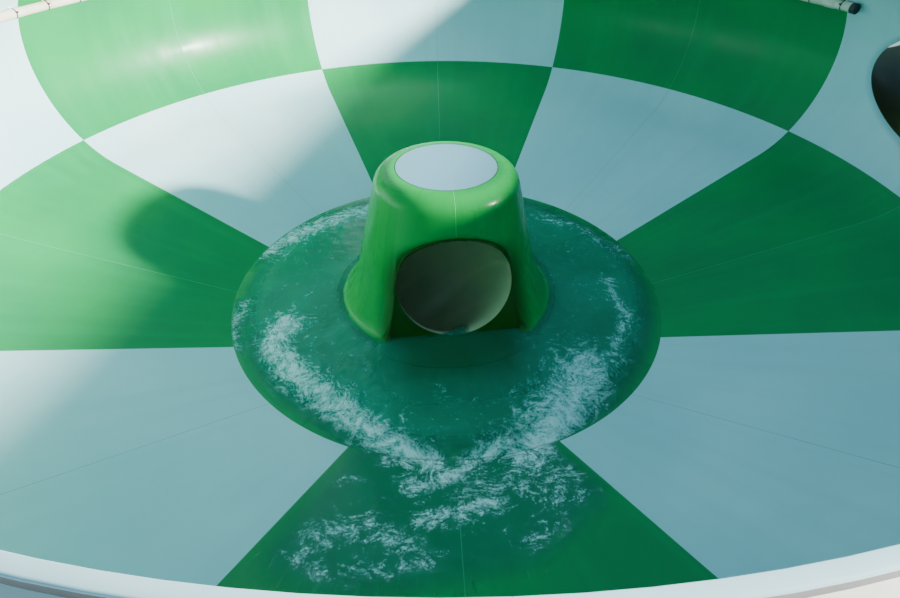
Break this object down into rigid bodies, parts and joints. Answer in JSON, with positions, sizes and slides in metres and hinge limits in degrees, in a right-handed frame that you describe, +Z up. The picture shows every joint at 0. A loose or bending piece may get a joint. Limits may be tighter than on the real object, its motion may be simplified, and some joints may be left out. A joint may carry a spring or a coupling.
{
  "type": "water slide bowl with centre exit tower",
  "caption": "Round water slide bowl of moulded panels on steel frames, with a tangential entry tube and an arched cone tower whose tube leads out below.",
  "frame": {"origin": "on the ground, under the middle of the whole object's box", "axes": "+Z up; -Y is the side that the tower's arch faces; +X is right when looking at the arch"},
  "size_m": [15.1806, 12.3846, 6.5213],
  "materials": {
    "green_gelcoat": "glossy green gelcoat on fibreglass",
    "white_gelcoat": "glossy white gelcoat on fibreglass",
    "tower_gelcoat": "glossy grass green gelcoat on fibreglass",
    "cap_gelcoat": "satin white gelcoat",
    "entry_tube_gelcoat": "green gelcoat outside, pale grey inside",
    "exit_tube_gelcoat": "grey-white gelcoat",
    "cream_pipe": "cream PVC pipe",
    "galvanised_steel": "hot-dip galvanised steel"
  },
  "bodies": {
    "root": {"floor_back": "green_gelcoat", "floor_front": "green_gelcoat", "dish_panel_01": "green_gelcoat", "dish_panel_02": "white_gelcoat", "dish_panel_03": "white_gelcoat", "dish_panel_04": "green_gelcoat", "dish_panel_05": "green_gelcoat", "dish_panel_06": "white_gelcoat", "dish_panel_07": "white_gelcoat", "dish_panel_08": "green_gelcoat", "dish_panel_09": "green_gelcoat", "dish_panel_10": "white_gelcoat", "dish_panel_11": "white_gelcoat", "dish_panel_12": "green_gelcoat", "dish_panel_13": "green_gelcoat", "dish_panel_14": "white_gelcoat", "dish_panel_15": "white_gelcoat", "dish_panel_16": "green_gelcoat", "wall_panel_01": "white_gelcoat", "wall_panel_02": "green_gelcoat", "wall_panel_03": "green_gelcoat", "wall_panel_04": "white_gelcoat", "wall_panel_05": "white_gelcoat", "wall_panel_06": "green_gelcoat", "wall_panel_07": "green_gelcoat", "wall_panel_08": "white_gelcoat", "wall_panel_09": "white_gelcoat", "wall_panel_10": "green_gelcoat", "wall_panel_11": "green_gelcoat", "wall_panel_12": "white_gelcoat", "wall_panel_13": "white_gelcoat", "wall_panel_14": "green_gelcoat", "wall_panel_15": "green_gelcoat", "wall_panel_16": "white_gelcoat", "entry_tube_1": "entry_tube_gelcoat", "entry_tube_2": "entry_tube_gelcoat", "tower_left": "tower_gelcoat", "tower_right": "tower_gelcoat", "tower_cap": "cap_gelcoat", "exit_tube_1": "exit_tube_gelcoat", "exit_tube_2": "exit_tube_gelcoat", "exit_tube_3": "exit_tube_gelcoat", "exit_tube_4": "exit_tube_gelcoat", "spray_pipe": "cream_pipe", "frame_1": "galvanised_steel", "frame_2": "galvanised_steel", "frame_3": "galvanised_steel", "frame_4": "galvanised_steel", "frame_5": "galvanised_steel", "frame_6": "galvanised_steel", "frame_7": "galvanised_steel", "frame_8": "galvanised_steel", "floor_ring": "galvanised_steel", "exit_post_1": "galvanised_steel", "exit_post_2": "galvanised_steel", "entry_post_1": "galvanised_steel", "entry_post_2": "galvanised_steel"}
  },
  "joints": []
}
